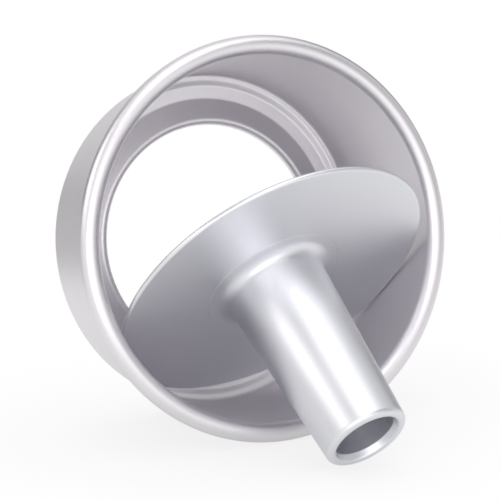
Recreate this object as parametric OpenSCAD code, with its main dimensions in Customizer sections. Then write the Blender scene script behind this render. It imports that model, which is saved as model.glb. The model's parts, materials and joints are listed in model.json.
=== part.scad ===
// Round tube cake pan in anodised aluminium sheet, taken apart to dry.
// The outer ring lies on its side on its rim bead and its bottom corner. The loose base,
// a plate with a centre tube, leans in the mouth of the ring and stands on the tube's end.

/* [Sheet] */
// Thickness of the sheet that every piece is drawn from
sheet = 1.2; // [0.8:0.1:1.6]

/* [Outer ring] */
// Inside diameter at the mouth
mouth_d = 203; // [170:1:260]
// Height from the foot to the top of the bead
pan_h = 83.7; // [70:0.1:110]
// Radius of the curled bead round the mouth
bead_r = 5.6; // [4:0.1:7]
// How far the wall draws in from the mouth to its foot
wall_draft = 6.9; // [4:0.1:10]
// Inside radius of the corner between wall and ledge
corner_r = 2; // [1:0.1:4]
// Width of the ledge inside the wall
ledge_w = 4.4; // [4:0.1:7]
// Height of the ledge above the foot band
ledge_h = 1.4; // [1.2:0.1:2.5]
// Width of the flat foot band, with the step up to the ledge
band_w = 9.7; // [8:0.1:16]
// Width of the cone that rises from the band to the crest round the hole
cone_w = 12.5; // [11:0.1:16]
// Height of the crest above the foot band
crest_h = 6.35; // [5:0.05:9]
// Radius over which the sheet turns down at the hole
crest_r = 2.8; // [2.4:0.1:3.4]
// Straight turned-down edge round the hole
hole_edge_h = 1.2; // [0.5:0.1:1.5]

/* [Base plate] */
// Gap between the seated plate and the foot of the wall
plate_gap = 1.6; // [1:0.1:3]
// Clear height inside the open hem round the plate
hem_gap = 0.6; // [0.4:0.1:1]
// Width of the sheet turned back under the plate
hem_w = 4; // [3:0.5:8]

/* [Centre tube] */
// Outside diameter at the root, where it would meet the plate without its fillet
tube_root_d = 57.8; // [54:0.2:66]
// Outside diameter at the rolled end
tube_end_d = 48.1; // [46:0.1:52]
// Height of the rolled end above the plate
tube_h = 111; // [105:0.5:130]
// Diameter of the opening in the rolled end
tube_bore_d = 35.4; // [30:0.2:36.4]
// Length of the straight collar under the funnel of the rolled end
collar_h = 4; // [3:0.5:10]
// Radius of the fillet between plate and tube
root_fillet = 7; // [4:0.5:10]
// Width of the lap where the tube's foot is brazed to the plate
lap_w = 4; // [3:0.5:6]

/* [Resting place] */
// How far the base leans sideways from straight down, to the right
lean_swing = 7.2; // [0:0.1:12]
// Gap kept where the base rests on the ring and where its tube stands on the table
rest_gap = 0.3; // [0.2:0.05:0.5]

/* [Hidden] */
$fn = 144;
ring_grey = [0.74, 0.75, 0.79];
plate_grey = [0.80, 0.81, 0.84];
tube_grey = [0.86, 0.86, 0.88];

// The ring's own frame: Z is its axis and runs from the foot, at 0, to the mouth.
// A section is drawn as radius and height, along the face that the cake touches.
wall_foot_r = mouth_d / 2 - wall_draft;
ledge_z = sheet + ledge_h;
bead_c = [mouth_d / 2 + bead_r, pan_h - bead_r];
foot_to_bead = bead_c - [wall_foot_r, ledge_z];
wall_angle = atan2(foot_to_bead[0], foot_to_bead[1]) - asin(bead_r / norm(foot_to_bead));
wall_top = bead_c + bead_r * [-cos(wall_angle), sin(wall_angle)];
corner_c = [wall_foot_r - corner_r * tan((90 - wall_angle) / 2), ledge_z + corner_r];
corner_out = corner_r + sheet;
step_slope = 50;
step_r = wall_foot_r - ledge_w;
step_run = ledge_h / tan(step_slope);
step_bend = 0.3;
band_bend = 3;
arc_step = 6;
cone_foot_r = step_r - band_w;
foot_out = step_r - step_run;
crest_c = [cone_foot_r - cone_w, sheet + crest_h - crest_r];
foot_to_crest = crest_c - [cone_foot_r, sheet];
cone_slope = atan2(foot_to_crest[1], -foot_to_crest[0]) + asin(crest_r / norm(foot_to_crest));
cone_top = crest_c + crest_r * [sin(cone_slope), cos(cone_slope)];
hole_r = crest_c[0] - crest_r;
curl_slit = 0.3;
curl_end = 180 - wall_angle + acos((bead_r - sheet - curl_slit) / bead_r);

// The base's own frame: Z is the tube's axis, and the underside of the plate is at 0.
hem_r = sheet + hem_gap / 2;
plate_r = wall_foot_r - plate_gap;
hem_c = [plate_r - hem_r, sheet - hem_r];
roll_r = (tube_end_d - tube_bore_d) / 4;
roll_c = [tube_bore_d / 2 + roll_r, sheet + tube_h - roll_r];
mouth_bend = 2;
mouth_slope = 20;
mouth_edge = 0.5;
crown_flat = 0.2;
mouth_c = [roll_c[0] - crown_flat, sheet + tube_h - mouth_bend];
mouth_side = mouth_c + mouth_bend * [-cos(mouth_slope), sin(mouth_slope)];
mouth_low = mouth_side[1] - (mouth_side[0] - tube_bore_d / 2) / tan(mouth_slope);
collar_top = mouth_low - (mouth_edge + sheet) * tan(mouth_slope / 2);
tube_foot = [tube_root_d / 2, sheet];
roll_to_foot = tube_foot - roll_c;
tube_angle = atan2(roll_to_foot[0], -roll_to_foot[1]) - asin(roll_r / norm(roll_to_foot));
roll_side = roll_c + roll_r * [cos(tube_angle), sin(tube_angle)];
lap_margin = 0.5;
lap_in = tube_root_d / 2 + root_fillet + lap_margin;
lap_out = lap_in + lap_w;
lap_clear = 0.05;

// How the ring lies: its axis rises by ring_tilt, and its bead and corner touch the table.
corner_to_bead = bead_c - corner_c;
ring_tilt = atan2(corner_to_bead[0], corner_to_bead[1])
    + asin((bead_r - corner_out) / norm(corner_to_bead));
bead_axis_h = bead_c[0] * cos(ring_tilt) + bead_r;

// How the base leans: its low edge stands on the foot band, its sides rest on the wall and
// its rolled end stands on the table. The lean is found where all three hold at once.
function edge_h(lean) = sheet + rest_gap + hem_r + hem_c[0] * sin(lean);
function base_h(lean) = edge_h(lean) - hem_c[1] * cos(lean);
function end_rise(lean) = cos(lean) * sin(ring_tilt) - sin(lean) * cos(lean_swing) * cos(ring_tilt);
function end_reach(lean) = roll_c[0] * sqrt(1 - pow(end_rise(lean), 2)) + roll_r;
function end_drop(lean) = bead_axis_h - rest_gap
    + (base_h(lean) + roll_c[1] * cos(lean) - bead_c[1]) * sin(ring_tilt);
function base_x(lean) = (end_drop(lean) - end_reach(lean)) / (cos(lean_swing) * cos(ring_tilt))
    - roll_c[1] * sin(lean);
function wall_in(z) = wall_foot_r + (z - ledge_z) * tan(wall_angle);
function edge_x(lean) = base_x(lean) + hem_c[1] * sin(lean);
function edge_point(lean, turn) = [
    edge_x(lean) + hem_c[0] * cos(turn) * cos(lean),
    hem_c[0] * sin(turn),
    edge_h(lean) - hem_c[0] * cos(turn) * sin(lean)
];
function wall_gap(p) = (wall_in(p[2]) - norm([p[0], p[1]])) * cos(wall_angle) - hem_r;
function side_gap(lean) = min([
    for (turn = [0 : 1 : 180])
        let (p = edge_point(lean, turn))
            if (p[2] < bead_c[1]) wall_gap(p)
]);
function find_lean(low, high, tries) =
    let (middle = (low + high) / 2)
        tries == 0 ? middle
        : side_gap(middle) > rest_gap ? find_lean(low, middle, tries - 1)
        : find_lean(middle, high, tries - 1);
base_lean = find_lean(35, 75, 24);
base_at = [base_x(base_lean), 0, base_h(base_lean)];

// Where the whole stands: the origin is under the middle of its box, on the table.
end_fore = cos(ring_tilt) * cos(base_lean) + cos(lean_swing) * sin(ring_tilt) * sin(base_lean);
end_at = [base_at[0] + roll_c[1] * sin(base_lean), base_at[2] + roll_c[1] * cos(base_lean)];
front_y = end_at[1] * cos(ring_tilt) + end_at[0] * cos(lean_swing) * sin(ring_tilt)
    + roll_c[0] * sqrt(1 - pow(end_fore, 2)) + roll_r;
back_y = corner_c[0] * sin(ring_tilt) - corner_c[1] * cos(ring_tilt) + corner_out;
foot_y = (front_y - back_y) / 2;
foot_h = bead_axis_h - bead_c[1] * sin(ring_tilt);

// Where the base sits when the pan is put together, and the line that it tips about.
seat_h = sheet + crest_h + rest_gap;
lift = base_at[2] - seat_h;
tip_x = base_at[0] / 2 + lift / 2 / tan(base_lean / 2);
tip_h = (base_at[2] + seat_h) / 2 - base_at[0] / 2 / tan(base_lean / 2);

// A point or a direction of the ring's frame, turned to the lean, in the frame of the whole
function across(v) = [
    v[0] * sin(lean_swing) + v[1] * cos(lean_swing),
    v[1] * sin(lean_swing) - v[0] * cos(lean_swing),
    v[2]
];
function lie(v) = [
    v[0],
    v[1] * sin(ring_tilt) - v[2] * cos(ring_tilt),
    v[1] * cos(ring_tilt) + v[2] * sin(ring_tilt)
];
function whole(v) = lie(across(v)) + [0, foot_y, foot_h];

echo(ring_tilt = ring_tilt, base_lean = base_lean, base_at = base_at, tip = [tip_x, 0, tip_h]);
echo(tip_at = whole([tip_x, 0, tip_h]), tip_axis = lie(across([0, -1, 0])));
echo(bore_at = whole(base_at + (collar_top - collar_h / 2) * [sin(base_lean), 0, cos(base_lean)]));
echo(bore_axis = lie(across([sin(base_lean), 0, cos(base_lean)])), bore_r = tube_bore_d / 2);
echo(foot_at = lie([0, (foot_out + cone_foot_r) / 2, 0]) + [0, foot_y, foot_h]);
echo(foot_axis = lie([0, 0, -1]));
echo(foot_in = cone_foot_r, foot_out = foot_out, hole = hole_r, plate = plate_r);

// Sections of the sheet. A bend is [centre, face radius, back radius, first angle, last angle].
// The face is the side that the cake touches, and the stretches between bends are straight.

function unit(v) = v / norm(v);
function right_of(d) = [d[1], -d[0]];
function angle_of(d) = atan2(d[1], d[0]);
function turn_between(d, e) = atan2(d[0] * e[1] - d[1] * e[0], d * e);
function reversed(list) = [for (k = [len(list) - 1 : -1 : 0]) list[k]];

// The bend that rounds a corner of the face, r being the radius on the inside of the bend
function bend_at(before, corner, after, r) =
    let (
        way = unit(corner - before),
        turn = turn_between(way, unit(after - corner)),
        face = turn > 0 ? r : r + sheet,
        back = turn > 0 ? r + sheet : r,
        side = (turn > 0 ? -1 : 1) * right_of(way),
        start = corner - way * face * tan(abs(turn) / 2)
    )
    [start + face * side, face, back, angle_of(-side), angle_of(-side) + turn];

function arc(c, r, first, last) =
    let (steps = max(2, ceil(abs(last - first) / arc_step)))
    [for (k = [0 : steps]) let (a = first + (last - first) * k / steps) c + r * [cos(a), sin(a)]];
function face_line(bends) = [for (b = bends) each arc(b[0], b[1], b[3], b[4])];
function back_line(bends) = reversed([for (b = bends) each arc(b[0], b[2], b[3], b[4])]);

// Places for the ring and for the base

module lying() {
    translate([0, foot_y, foot_h])
        rotate([90 - ring_tilt, 0, 0])
            children();
}

module leaning() {
    lying()
        rotate([0, 0, lean_swing - 90])
            translate(base_at)
                rotate([0, base_lean, 0])
                    children();
}

// The outer ring: wall, curled bead, ledge, foot band and the crest round its hole

module outer_ring() {
    band = [cone_foot_r, sheet];
    step_low = [foot_out, sheet];
    step_high = [step_r, ledge_z];
    wall_foot = [wall_foot_r, ledge_z];
    bends = [
        [crest_c, crest_r, crest_r - sheet, 180, 90 - cone_slope],
        bend_at(cone_top, band, step_low, band_bend),
        bend_at(band, step_low, step_high, step_bend),
        bend_at(step_low, step_high, wall_foot, step_bend),
        bend_at(step_high, wall_foot, wall_top, corner_r),
        [bead_c, bead_r, bead_r - sheet, 180 - wall_angle, curl_end - 360]
    ];
    edge_z = crest_c[1] - hole_edge_h;
    color(ring_grey)
        lying()
            rotate_extrude()
                polygon([
                    [hole_r, edge_z],
                    each face_line(bends),
                    each back_line(bends),
                    [hole_r + sheet, edge_z]
                ]);
}

// The base plate: a flat disc with an open hem turned under its edge and a lap round its hole

module base_plate() {
    hem = [[hem_c, hem_r, hem_r - sheet, 90, -90]];
    hem_in = hem_c[0] - hem_w;
    hem_low = hem_c[1] - hem_r;
    color(plate_grey)
        leaning()
            rotate_extrude()
                polygon([
                    [lap_in, sheet / 2],
                    [lap_out, sheet / 2],
                    [lap_out, sheet],
                    each face_line(hem),
                    [hem_in, hem_low],
                    [hem_in, hem_low + sheet],
                    each back_line(hem),
                    [lap_in, 0]
                ]);
}

// The centre tube: collar, funnel, rolled end, tapered side, fillet and the foot that laps
// the plate

module centre_tube() {
    collar_in = tube_bore_d / 2;
    collar_low = collar_top - collar_h;
    bends = [
        bend_at([collar_in, collar_low], [collar_in, mouth_low], mouth_side, mouth_edge),
        [mouth_c, mouth_bend, mouth_bend - sheet, 180 - mouth_slope, 90],
        [roll_c, roll_r, roll_r - sheet, 90, tube_angle],
        bend_at(roll_side, tube_foot, [lap_in, sheet], root_fillet)
    ];
    color(tube_grey)
        leaning()
            rotate_extrude()
                polygon([
                    [collar_in, collar_low],
                    each face_line(bends),
                    [lap_out - lap_clear, sheet],
                    [lap_out - lap_clear, sheet / 2],
                    [lap_in - lap_clear, sheet / 2],
                    [lap_in - lap_clear, 0],
                    each back_line(bends),
                    [collar_in + sheet, collar_low]
                ]);
}

outer_ring();
base_plate();
centre_tube();
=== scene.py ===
"""A round tube cake pan, taken apart: the outer ring lies on its side and the loose base, a
plate with a centre tube, leans out of its mouth. All of it is satin anodised aluminium sheet."""

import json
import math

import bmesh
import bpy
from mathutils import Matrix, Vector


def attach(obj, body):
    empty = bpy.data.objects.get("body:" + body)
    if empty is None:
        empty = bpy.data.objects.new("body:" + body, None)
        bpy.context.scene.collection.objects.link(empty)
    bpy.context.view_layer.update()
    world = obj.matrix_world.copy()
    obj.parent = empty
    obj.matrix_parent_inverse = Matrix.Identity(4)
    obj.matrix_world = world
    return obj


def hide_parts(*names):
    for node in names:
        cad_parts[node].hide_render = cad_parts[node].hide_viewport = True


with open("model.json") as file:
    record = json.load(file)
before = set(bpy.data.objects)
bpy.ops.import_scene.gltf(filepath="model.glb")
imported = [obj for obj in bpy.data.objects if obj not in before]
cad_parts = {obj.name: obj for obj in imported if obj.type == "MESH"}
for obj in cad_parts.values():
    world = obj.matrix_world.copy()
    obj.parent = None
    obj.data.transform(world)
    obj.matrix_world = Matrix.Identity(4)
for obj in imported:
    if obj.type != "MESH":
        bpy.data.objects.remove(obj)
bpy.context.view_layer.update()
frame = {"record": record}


# The lie of the pan
# The ring lies on its rim bead and its bottom corner, so its axis points at the viewer and a
# little up. The base leans in it. Both axes come from the two faces that the record states.

mounts = {mount["name"]: mount for mount in frame["record"]["mounts"]}
rightwards = Vector((1, 0, 0))
ring_axis = -Vector(mounts["ring_foot"]["axis"]).normalized()
tube_axis = Vector(mounts["tube_mouth"]["axis"]).normalized()
ring_up = ring_axis.cross(rightwards).normalized()


def frame_on(origin, axis, side):
    """A frame with its Z on the axis and its X as near as it can be to the side."""
    across = (side - side.project(axis)).normalized()
    turn = Matrix((across, axis.cross(across), axis)).transposed()
    return Matrix.Translation(origin) @ turn.to_4x4()


# The camera
# It stands a metre and a half away, left of the ring's axis and above it, with a long lens,
# and looks just past the middle of the mouth. That is found from the point that the record
# gives on the foot band, which is the band's middle radius above the ring's axis.

bead_depth = 0.0781
foot_band_mid = 0.0847626
ring_foot = Vector(mounts["ring_foot"]["pos_m"]) - foot_band_mid * ring_up
mouth_middle = ring_foot + bead_depth * ring_axis
camera_turn = math.radians(27.23)
camera_rise = math.radians(15.27)
camera_reach = 1.438
camera_shift_right = 0.0096
camera_shift_up = 0.0062

view_back = Vector(
    (
        -math.sin(camera_turn) * math.cos(camera_rise),
        -math.cos(camera_turn) * math.cos(camera_rise),
        math.sin(camera_rise),
    )
)
view_right = Vector((math.cos(camera_turn), -math.sin(camera_turn), 0))
view_up = view_back.cross(view_right)
camera = bpy.data.objects.new("camera", bpy.data.cameras.new("camera"))
bpy.context.scene.collection.objects.link(camera)
camera.data.lens = 187.2
camera.data.sensor_width = 36
camera.data.clip_end = 50
eye = mouth_middle + camera_reach * view_back
eye -= camera_shift_right * view_right + camera_shift_up * view_up
camera.matrix_world = Matrix.Translation(eye) @ Matrix(
    (view_right, view_up, view_back)
).transposed().to_4x4()
bpy.context.scene.camera = camera


# The studio
# A white table and a white surround, both seen as pure white by the camera and by the metal.
# Only the soft shadow under the pan tells the table from the air. The surround gives the
# pan less light than it shows.

table_half = 6
shade_reach = 0.12
shade_in_metal = 0.62
shade_in_view = 0.84
surround_light = 0.6
surround_look = 1.0

scene = bpy.context.scene
scene.view_settings.view_transform = "Standard"


def new_material(name):
    """An empty node material, its nodes and a function that links two sockets."""
    material = bpy.data.materials.new(name)
    material.use_nodes = True
    nodes = material.node_tree.nodes
    nodes.clear()
    return material, nodes, material.node_tree.links.new


def seen_as_background(nodes, link):
    """One where a ray from the camera, from a gloss or through a clear body looks, else nought."""
    path = nodes.new("ShaderNodeLightPath")
    total = path.outputs["Is Camera Ray"]
    for name in ("Is Glossy Ray", "Is Transmission Ray"):
        either = nodes.new("ShaderNodeMath")
        either.operation = "MAXIMUM"
        link(total, either.inputs[0])
        link(path.outputs[name], either.inputs[1])
        total = either.outputs[0]
    return total


def white_table():
    """White where it is looked at, darker under the pan, and a plain white for light.

    The metal is close to the table and sees that shade in full. The camera sees a softer one.
    """
    material, nodes, link = new_material("white_table")
    near = nodes.new("ShaderNodeAmbientOcclusion")
    near.inputs["Distance"].default_value = shade_reach
    near.samples = 8
    looker = nodes.new("ShaderNodeLightPath")
    darkest = nodes.new("ShaderNodeMapRange")
    darkest.inputs["To Min"].default_value = shade_in_metal
    darkest.inputs["To Max"].default_value = shade_in_view
    link(looker.outputs["Is Camera Ray"], darkest.inputs["Value"])
    shade = nodes.new("ShaderNodeMapRange")
    link(near.outputs["AO"], shade.inputs["Value"])
    link(darkest.outputs["Result"], shade.inputs["To Min"])
    glow = nodes.new("ShaderNodeEmission")
    link(shade.outputs["Result"], glow.inputs["Strength"])
    plain = nodes.new("ShaderNodeBsdfDiffuse")
    plain.inputs["Color"].default_value = (0.8, 0.8, 0.8, 1)
    mix = nodes.new("ShaderNodeMixShader")
    link(seen_as_background(nodes, link), mix.inputs["Fac"])
    link(plain.outputs[0], mix.inputs[1])
    link(glow.outputs[0], mix.inputs[2])
    out = nodes.new("ShaderNodeOutputMaterial")
    link(mix.outputs[0], out.inputs["Surface"])
    return material


table_mesh = bmesh.new()
bmesh.ops.create_grid(table_mesh, x_segments=1, y_segments=1, size=table_half)
table_data = bpy.data.meshes.new("table")
table_mesh.to_mesh(table_data)
table_mesh.free()
table = bpy.data.objects.new("table", table_data)
table.data.materials.append(white_table())
scene.collection.objects.link(table)

surround = bpy.data.worlds.new("surround")
scene.world = surround
surround.use_nodes = True
sky_nodes = surround.node_tree.nodes
sky_nodes.clear()
sky_link = surround.node_tree.links.new
sky = sky_nodes.new("ShaderNodeBackground")
sky_strength = sky_nodes.new("ShaderNodeMapRange")
sky_strength.inputs["To Min"].default_value = surround_light
sky_strength.inputs["To Max"].default_value = surround_look
sky_link(seen_as_background(sky_nodes, sky_link), sky_strength.inputs["Value"])
sky_link(sky_strength.outputs["Result"], sky.inputs["Strength"])
sky_out = sky_nodes.new("ShaderNodeOutputWorld")
sky_link(sky.outputs[0], sky_out.inputs["Surface"])


# The lamps and the cards
# Soft boxes and dark cards stand round the pan, each placed by its turn from the camera's
# side to the right and by its rise over the mouth's middle, in degrees. The cards keep the
# white surround out of the metal. Light may go from wall to wall in the ring many times.

box_reach = 1.3
card_reach = 1.6
white = (1.0, 1.0, 1.0)
off_white = (1.0, 0.99, 0.98)
warm = (1.0, 0.975, 0.95)
cool = (0.96, 0.98, 1.0)
scene.cycles.glossy_bounces = 9


def stand_round(thing, turn, rise, reach):
    """Puts a lamp or a card in its place, facing the middle of the pan's mouth."""
    turn = math.radians(turn) - camera_turn
    rise = math.radians(rise)
    away = Vector(
        (math.sin(turn) * math.cos(rise), -math.cos(turn) * math.cos(rise), math.sin(rise))
    )
    thing.rotation_euler = away.to_track_quat("Z", "Y").to_euler()
    thing.location = mouth_middle + reach * away
    thing.visible_camera = False
    scene.collection.objects.link(thing)


def soft_box(name, turn, rise, reach, width, height, power, colour):
    """A flat lamp."""
    lamp = bpy.data.lights.new(name, "AREA")
    lamp.shape = "RECTANGLE"
    lamp.size = width
    lamp.size_y = height
    lamp.energy = power
    lamp.color = colour
    stand_round(bpy.data.objects.new(name, lamp), turn, rise, reach)


def card(name, turn, rise, reach, width, height, grey):
    """A flat card that only the metal sees. It casts no shadow."""
    data = bpy.data.meshes.new(name)
    mesh = bmesh.new()
    bmesh.ops.create_grid(mesh, x_segments=1, y_segments=1, size=0.5)
    bmesh.ops.scale(mesh, vec=(width, height, 1), verts=mesh.verts)
    mesh.to_mesh(data)
    mesh.free()
    material, nodes, link = new_material(name)
    glow = nodes.new("ShaderNodeEmission")
    glow.inputs["Strength"].default_value = grey
    out = nodes.new("ShaderNodeOutputMaterial")
    link(glow.outputs[0], out.inputs["Surface"])
    data.materials.append(material)
    sheet_of_card = bpy.data.objects.new(name, data)
    sheet_of_card.visible_shadow = False
    sheet_of_card.visible_diffuse = False
    stand_round(sheet_of_card, turn, rise, reach)


soft_box("front_box", 10, 16, box_reach, 0.8, 0.45, 2.6, white)
soft_box("front_low_box", -10, 5, box_reach, 0.45, 0.25, 1.6, white)
soft_box("front_right_box", 38, 6, box_reach, 0.45, 0.25, 0.6, white)
soft_box("front_top_box", 20, 62, box_reach, 0.9, 0.5, 2.5, white)
soft_box("left_box", -77, 34, box_reach, 0.45, 0.8, 1.7, warm)
soft_box("left_front_box", -60, 30, box_reach, 0.4, 0.5, 1.3, warm)
soft_box("left_top_box", -48, 50, box_reach, 0.5, 0.4, 0.4, off_white)
soft_box("right_box", 95, 62, box_reach, 0.6, 0.5, 1.0, cool)
soft_box("top_box", 0, 86, 1.2, 0.7, 0.7, 1.3, cool)
card("left_card", -108, 22, card_reach, 1.1, 1.7, 0.1)
card("left_low_card", -112, -7, 0.36, 0.44, 0.17, 0.6)
card("left_front_card", -42, 50, card_reach, 0.8, 0.8, 0.0)
card("right_card", 88, 10, card_reach, 0.7, 0.9, 0.45)
card("right_top_card", 75, 45, card_reach, 0.9, 0.7, 0.0)
card("right_back_card", 152, 15, card_reach, 1.0, 1.3, 0.15)


# The outer ring
# One shell drawn and spun from aluminium sheet 1.2 mm thick: the wall, a curled bead round
# the mouth, a ledge, a soft step, the foot band, and a cone up to the rounded crest at the
# hole. Its cut edges are the turned-down one at the hole and the curl's, under the bead.

sheet = 0.0012
mouth_r = 0.1015
bead_r = 0.0056
wall_foot_r = 0.0946
corner_r = 0.002
ledge_w = 0.0033
ledge_h = 0.0014
band_w = 0.0108
cone_w = 0.0125
crest_h = 0.00635
crest_r = 0.0028
hole_edge_h = 0.0012
step_slope = math.radians(22)
step_bend = 0.004
band_bend = 0.003
curl_slit = 0.0003
edge_round = 0.00015
weld_reach = 0.000002
sharp_turn = 1.0


class Section:
    """A closed section of sheet, drawn as radius and height, that is then spun about its axis."""

    def __init__(self, point):
        self.mesh = bmesh.new()
        self.start = self.mesh.verts.new((point[0], 0, point[1]))
        self.tip = self.start

    def straight(self, point, stride=0.005, hold=0.0003):
        """A straight stretch, held by a point close to each of its ends."""
        begin = self.tip.co.copy()
        way = Vector((point[0], 0, point[1])) - begin
        inner = way.length - 2 * hold
        stops = [1.0]
        if inner > hold:
            count = max(1, round(inner / stride))
            stops = [(hold + inner * k / count) / way.length for k in range(count + 1)] + [1.0]
        for stop in stops:
            self.tip = bmesh.ops.extrude_vert_indiv(self.mesh, verts=[self.tip])["verts"][0]
            self.tip.co = begin + way * stop

    def turn(self, centre, first, last, stride=math.radians(5)):
        """An arc about a centre, from one angle to another, turned like a lathe would."""
        steps = max(3, math.ceil(abs(last - first) / stride))
        made = bmesh.ops.spin(
            self.mesh,
            geom=[self.tip],
            cent=(centre[0], 0, centre[1]),
            axis=(0, -1, 0),
            angle=last - first,
            steps=steps,
        )
        self.tip = [part for part in made["geom_last"] if isinstance(part, bmesh.types.BMVert)][0]

    def follow(self, bends, radius):
        """Runs straight from bend to bend and turns round each at the given radius of the pair."""
        for centre, radii, first, last in bends:
            arm = radii[radius] * Vector((math.cos(first), math.sin(first)))
            self.straight(centre + arm)
            self.turn(centre, first, last)

    def spun(self, name, place, around=256):
        """Closes the section, spins it into a solid and puts that in its place."""
        self.mesh.edges.new((self.tip, self.start))
        bmesh.ops.remove_doubles(self.mesh, verts=self.mesh.verts, dist=weld_reach)
        bmesh.ops.spin(
            self.mesh,
            geom=self.mesh.verts[:] + self.mesh.edges[:],
            cent=(0, 0, 0),
            axis=(0, 0, 1),
            angle=2 * math.pi,
            steps=around,
            use_merge=True,
        )
        bmesh.ops.remove_doubles(self.mesh, verts=self.mesh.verts, dist=weld_reach)
        bmesh.ops.recalc_face_normals(self.mesh, faces=self.mesh.faces)
        sharp = [
            edge
            for edge in self.mesh.edges
            if len(edge.link_faces) == 2 and edge.calc_face_angle() > sharp_turn
        ]
        bmesh.ops.bevel(
            self.mesh,
            geom=sharp,
            offset=edge_round,
            segments=2,
            profile=0.5,
            affect="EDGES",
            material=-1,
        )
        for face in self.mesh.faces:
            face.smooth = True
        data = bpy.data.meshes.new(name)
        self.mesh.to_mesh(data)
        self.mesh.free()
        data.transform(place)
        piece = bpy.data.objects.new(name, data)
        scene.collection.objects.link(piece)
        return piece


def backwards(bends):
    """The same bends as they come when the back of the sheet is followed home."""
    return [(centre, radii, last, first) for centre, radii, first, last in reversed(bends)]


def bend_at(before, corner, after, inside):
    """The bend that rounds a corner of the face: centre, (face, back) radii, and its angles."""
    way = (corner - before).normalized()
    onward = (after - corner).normalized()
    turn = math.atan2(way.x * onward.y - way.y * onward.x, way.dot(onward))
    left = Vector((-way.y, way.x)) * math.copysign(1, turn)
    face, back = (inside, inside + sheet) if turn > 0 else (inside + sheet, inside)
    start = corner - way * face * math.tan(abs(turn) / 2)
    first = math.atan2(-left.y, -left.x)
    return (start + face * left, (face, back), first, first + turn)


def tangent_tilt(corner, centre, radius):
    """How far a line from the corner that touches the circle leans outwards from upright."""
    across = centre - corner
    return math.atan2(across.x, across.y) - math.asin(radius / across.length)


ledge_z = sheet + ledge_h
bead_centre = Vector((mouth_r + bead_r, bead_depth))
wall_foot = Vector((wall_foot_r, ledge_z))
wall_tilt = tangent_tilt(wall_foot, bead_centre, bead_r)
wall_top = bead_centre + bead_r * Vector((-math.cos(wall_tilt), math.sin(wall_tilt)))
step_r = wall_foot_r - ledge_w
step_high = Vector((step_r, ledge_z))
step_low = Vector((step_r - ledge_h / math.tan(step_slope), sheet))
cone_foot = Vector((step_r - band_w, sheet))
crest_centre = Vector((cone_foot.x - cone_w, sheet + crest_h - crest_r))
to_crest = crest_centre - cone_foot
cone_slope = math.atan2(to_crest.y, -to_crest.x) + math.asin(crest_r / to_crest.length)
cone_top = crest_centre + crest_r * Vector((math.sin(cone_slope), math.cos(cone_slope)))
curl_end = math.pi - wall_tilt + math.acos((bead_r - sheet - curl_slit) / bead_r)
ring_bends = [
    (crest_centre, (crest_r, crest_r - sheet), math.pi, math.pi / 2 - cone_slope),
    bend_at(cone_top, cone_foot, step_low, band_bend),
    bend_at(cone_foot, step_low, step_high, step_bend),
    bend_at(step_low, step_high, wall_foot, step_bend),
    bend_at(step_high, wall_foot, wall_top, corner_r),
    (bead_centre, (bead_r, bead_r - sheet), math.pi - wall_tilt, curl_end - 2 * math.pi),
]
ring_place = frame_on(ring_foot, ring_axis, rightwards)
hole_edge_z = crest_centre.y - hole_edge_h
ring_section = Section((crest_centre.x - crest_r, hole_edge_z))
ring_section.follow(ring_bends, 0)
ring_section.follow(backwards(ring_bends), 1)
ring_section.straight((crest_centre.x - crest_r + sheet, hole_edge_z))
outer_ring = ring_section.spun("outer_ring_shell", ring_place)


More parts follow.
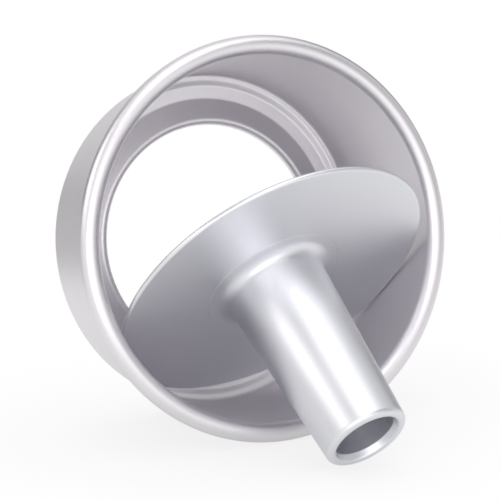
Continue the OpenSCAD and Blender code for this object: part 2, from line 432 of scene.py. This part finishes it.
def satin_finish():
    """A node group for dressed and anodised sheet: a soft mottle, lathe lines and a fine grain.

    Place is a point in the piece's own frame, its Z on the axis. It puts out a colour that the
    mottle varies, a roughness that handling varies, and the height of the lines and the grain.
    """
    group = bpy.data.node_groups.new("satin_finish", "ShaderNodeTree")
    for name, kind, value in (
        ("Place", "NodeSocketVector", None),
        ("Tint", "NodeSocketColor", (0.5, 0.5, 0.52, 1)),
        ("Mottle", "NodeSocketFloat", 0.04),
        ("Rough", "NodeSocketFloat", 0.34),
        ("Rough Change", "NodeSocketFloat", 0.05),
        ("Line Share", "NodeSocketFloat", 0.5),
    ):
        socket = group.interface.new_socket(name, in_out="INPUT", socket_type=kind)
        if value is not None:
            socket.default_value = value
    for name, kind in (
        ("Colour", "NodeSocketColor"),
        ("Roughness", "NodeSocketFloat"),
        ("Height", "NodeSocketFloat"),
    ):
        group.interface.new_socket(name, in_out="OUTPUT", socket_type=kind)
    nodes, link = group.nodes, group.links.new
    given = nodes.new("NodeGroupInput").outputs
    result = nodes.new("NodeGroupOutput").inputs

    def arithmetic(operation, first, second, third=None):
        node = nodes.new("ShaderNodeMath")
        node.operation = operation
        for socket, value in zip(node.inputs, (first, second, third)):
            if isinstance(value, (int, float)):
                socket.default_value = value
            elif value is not None:
                link(value, socket)
        return node.outputs[0]

    def cloud(scale, detail):
        node = nodes.new("ShaderNodeTexNoise")
        node.inputs["Scale"].default_value = scale
        node.inputs["Detail"].default_value = detail
        link(given["Place"], node.inputs["Vector"])
        return node.outputs["Fac"]

    mottle = arithmetic("SUBTRACT", cloud(scale=26, detail=4), 0.5)
    brightness = arithmetic("MULTIPLY_ADD", mottle, given["Mottle"], 1.0)
    tint = nodes.new("ShaderNodeVectorMath")
    tint.operation = "SCALE"
    link(given["Tint"], tint.inputs[0])
    link(brightness, tint.inputs["Scale"])
    link(tint.outputs[0], result["Colour"])

    handled = arithmetic("SUBTRACT", cloud(scale=60, detail=6), 0.5)
    link(
        arithmetic("MULTIPLY_ADD", handled, given["Rough Change"], given["Rough"]),
        result["Roughness"],
    )

    flat = nodes.new("ShaderNodeVectorMath")
    flat.operation = "MULTIPLY"
    flat.inputs[1].default_value = (1, 1, 0)
    link(given["Place"], flat.inputs[0])
    reach = nodes.new("ShaderNodeVectorMath")
    reach.operation = "LENGTH"
    link(flat.outputs[0], reach.inputs[0])
    apart = nodes.new("ShaderNodeSeparateXYZ")
    link(given["Place"], apart.inputs[0])
    along = arithmetic("ADD", reach.outputs["Value"], apart.outputs["Z"])
    lines = nodes.new("ShaderNodeTexNoise")
    lines.noise_dimensions = "1D"
    lines.inputs["Scale"].default_value = 1400
    lines.inputs["Detail"].default_value = 3
    link(along, lines.inputs["W"])
    grain = cloud(scale=2200, detail=2)
    mix = nodes.new("ShaderNodeMix")
    link(given["Line Share"], mix.inputs["Factor"])
    link(grain, mix.inputs["A"])
    link(lines.outputs["Fac"], mix.inputs["B"])
    link(mix.outputs["Result"], result["Height"])
    return group


finish_group = satin_finish()
grain_strength = 0.12
grain_depth = 0.00004


def satin_aluminium(name, place, tint, rough, line_share):
    """Anodised aluminium: a metal with the satin finish laid out round the piece's own axis."""
    material, nodes, link = new_material(name)
    where = nodes.new("ShaderNodeTexCoord")
    local = nodes.new("ShaderNodeMapping")
    local.vector_type = "TEXTURE"
    local.inputs["Location"].default_value = place.to_translation()
    local.inputs["Rotation"].default_value = place.to_euler()
    link(where.outputs["Object"], local.inputs["Vector"])
    finish = nodes.new("ShaderNodeGroup")
    finish.node_tree = finish_group
    finish.inputs["Tint"].default_value = (*tint, 1)
    finish.inputs["Rough"].default_value = rough
    finish.inputs["Line Share"].default_value = line_share
    link(local.outputs[0], finish.inputs["Place"])
    bump = nodes.new("ShaderNodeBump")
    bump.inputs["Strength"].default_value = grain_strength
    bump.inputs["Distance"].default_value = grain_depth
    link(finish.outputs["Height"], bump.inputs["Height"])
    metal = nodes.new("ShaderNodeBsdfPrincipled")
    metal.inputs["Metallic"].default_value = 1.0
    link(finish.outputs["Colour"], metal.inputs["Base Color"])
    link(finish.outputs["Roughness"], metal.inputs["Roughness"])
    link(bump.outputs[0], metal.inputs["Normal"])
    out = nodes.new("ShaderNodeOutputMaterial")
    link(metal.outputs[0], out.inputs["Surface"])
    return material


satin_rough = 0.43
ring_tint = (0.775, 0.75, 0.78)
ring_lines = 0.6
outer_ring.data.materials.append(
    satin_aluminium("ring_metal", ring_place, ring_tint, satin_rough, ring_lines)
)
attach(outer_ring, "pan_ring")
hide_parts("outer_ring")


# The base plate
# A flat disc of the same sheet, its edge turned under and back in an open hem, and half its
# thickness cut away round the hole, where the tube's foot laps it. Its place is worked out
# from the tube's collar, which the record gives, so the tube's sizes stand here too.

plate_gap = 0.0016
hem_gap = 0.0006
hem_w = 0.004
tube_root_r = 0.0289
root_fillet = 0.007
lap_w = 0.004
lap_margin = 0.0005
tube_h = 0.111
tube_end_r = 0.02405
bore_r = mounts["tube_mouth"]["dims"]["r_mm"] / 1000
collar_h = mounts["tube_mouth"]["dims"]["length_mm"] / 1000
mouth_bend = 0.002
mouth_slope = math.radians(20)
mouth_edge = 0.0005
crown_flat = 0.0002
roll_r = (tube_end_r - bore_r) / 2
roll_centre = Vector((bore_r + roll_r, sheet + tube_h - roll_r))
mouth_centre = Vector((roll_centre.x - crown_flat, sheet + tube_h - mouth_bend))
mouth_side = mouth_centre + mouth_bend * Vector((-math.cos(mouth_slope), math.sin(mouth_slope)))
mouth_low = Vector((bore_r, mouth_side.y - (mouth_side.x - bore_r) / math.tan(mouth_slope)))
collar_top = mouth_low.y - (mouth_edge + sheet) * math.tan(mouth_slope / 2)
bore_middle = Vector(mounts["tube_mouth"]["pos_m"])
base_foot = bore_middle - (collar_top - collar_h / 2) * tube_axis
base_place = frame_on(base_foot, tube_axis, rightwards)
hem_r = sheet + hem_gap / 2
hem_centre = Vector((wall_foot_r - plate_gap - hem_r, sheet - hem_r))
hem = [(hem_centre, (hem_r, hem_r - sheet), math.pi / 2, -math.pi / 2)]
hem_in = hem_centre.x - hem_w
hem_low = hem_centre.y - hem_r
lap_in = tube_root_r + root_fillet + lap_margin
lap_out = lap_in + lap_w
plate_section = Section((lap_in, sheet / 2))
plate_section.straight((lap_out, sheet / 2))
plate_section.straight((lap_out, sheet))
plate_section.follow(hem, 0)
plate_section.straight((hem_in, hem_low))
plate_section.straight((hem_in, hem_low + sheet))
plate_section.follow(backwards(hem), 1)
plate_section.straight((lap_in, 0))
base_plate = plate_section.spun("base_plate_disc", base_place)
base_tint = (0.765, 0.77, 0.805)
base_lines = 0.55
base_plate.data.materials.append(
    satin_aluminium("plate_metal", base_place, base_tint, satin_rough, base_lines)
)
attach(base_plate, "loose_base")
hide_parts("base_plate")


# The centre tube
# A tapered tube drawn from the same sheet and brazed to the plate. Its foot flares into the
# plate with a wide fillet. Its end is rolled in and goes down in a short funnel to a short
# straight collar.

lap_clear = 0.00005
tube_foot = Vector((tube_root_r, sheet))
to_foot = tube_foot - roll_centre
tube_tilt = math.atan2(to_foot.x, -to_foot.y) - math.asin(roll_r / to_foot.length)
roll_side = roll_centre + roll_r * Vector((math.cos(tube_tilt), math.sin(tube_tilt)))
tube_bends = [
    bend_at(Vector((bore_r, 0)), mouth_low, mouth_side, mouth_edge),
    (mouth_centre, (mouth_bend, mouth_bend - sheet), math.pi - mouth_slope, math.pi / 2),
    (roll_centre, (roll_r, roll_r - sheet), math.pi / 2, tube_tilt),
    bend_at(roll_side, tube_foot, Vector((lap_in, sheet)), root_fillet),
]
collar_low = collar_top - collar_h
tube_section = Section((bore_r, collar_low))
tube_section.follow(tube_bends, 0)
tube_section.straight((lap_out - lap_clear, sheet))
tube_section.straight((lap_out - lap_clear, sheet / 2))
tube_section.straight((lap_in - lap_clear, sheet / 2))
tube_section.straight((lap_in - lap_clear, 0))
tube_section.follow(backwards(tube_bends), 1)
tube_section.straight((bore_r + sheet, collar_low))
centre_tube = tube_section.spun("centre_tube_shell", base_place, around=192)
centre_tube.data.materials.append(
    satin_aluminium("tube_metal", base_place, base_tint, satin_rough, base_lines)
)
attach(centre_tube, "loose_base")
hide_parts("centre_tube")
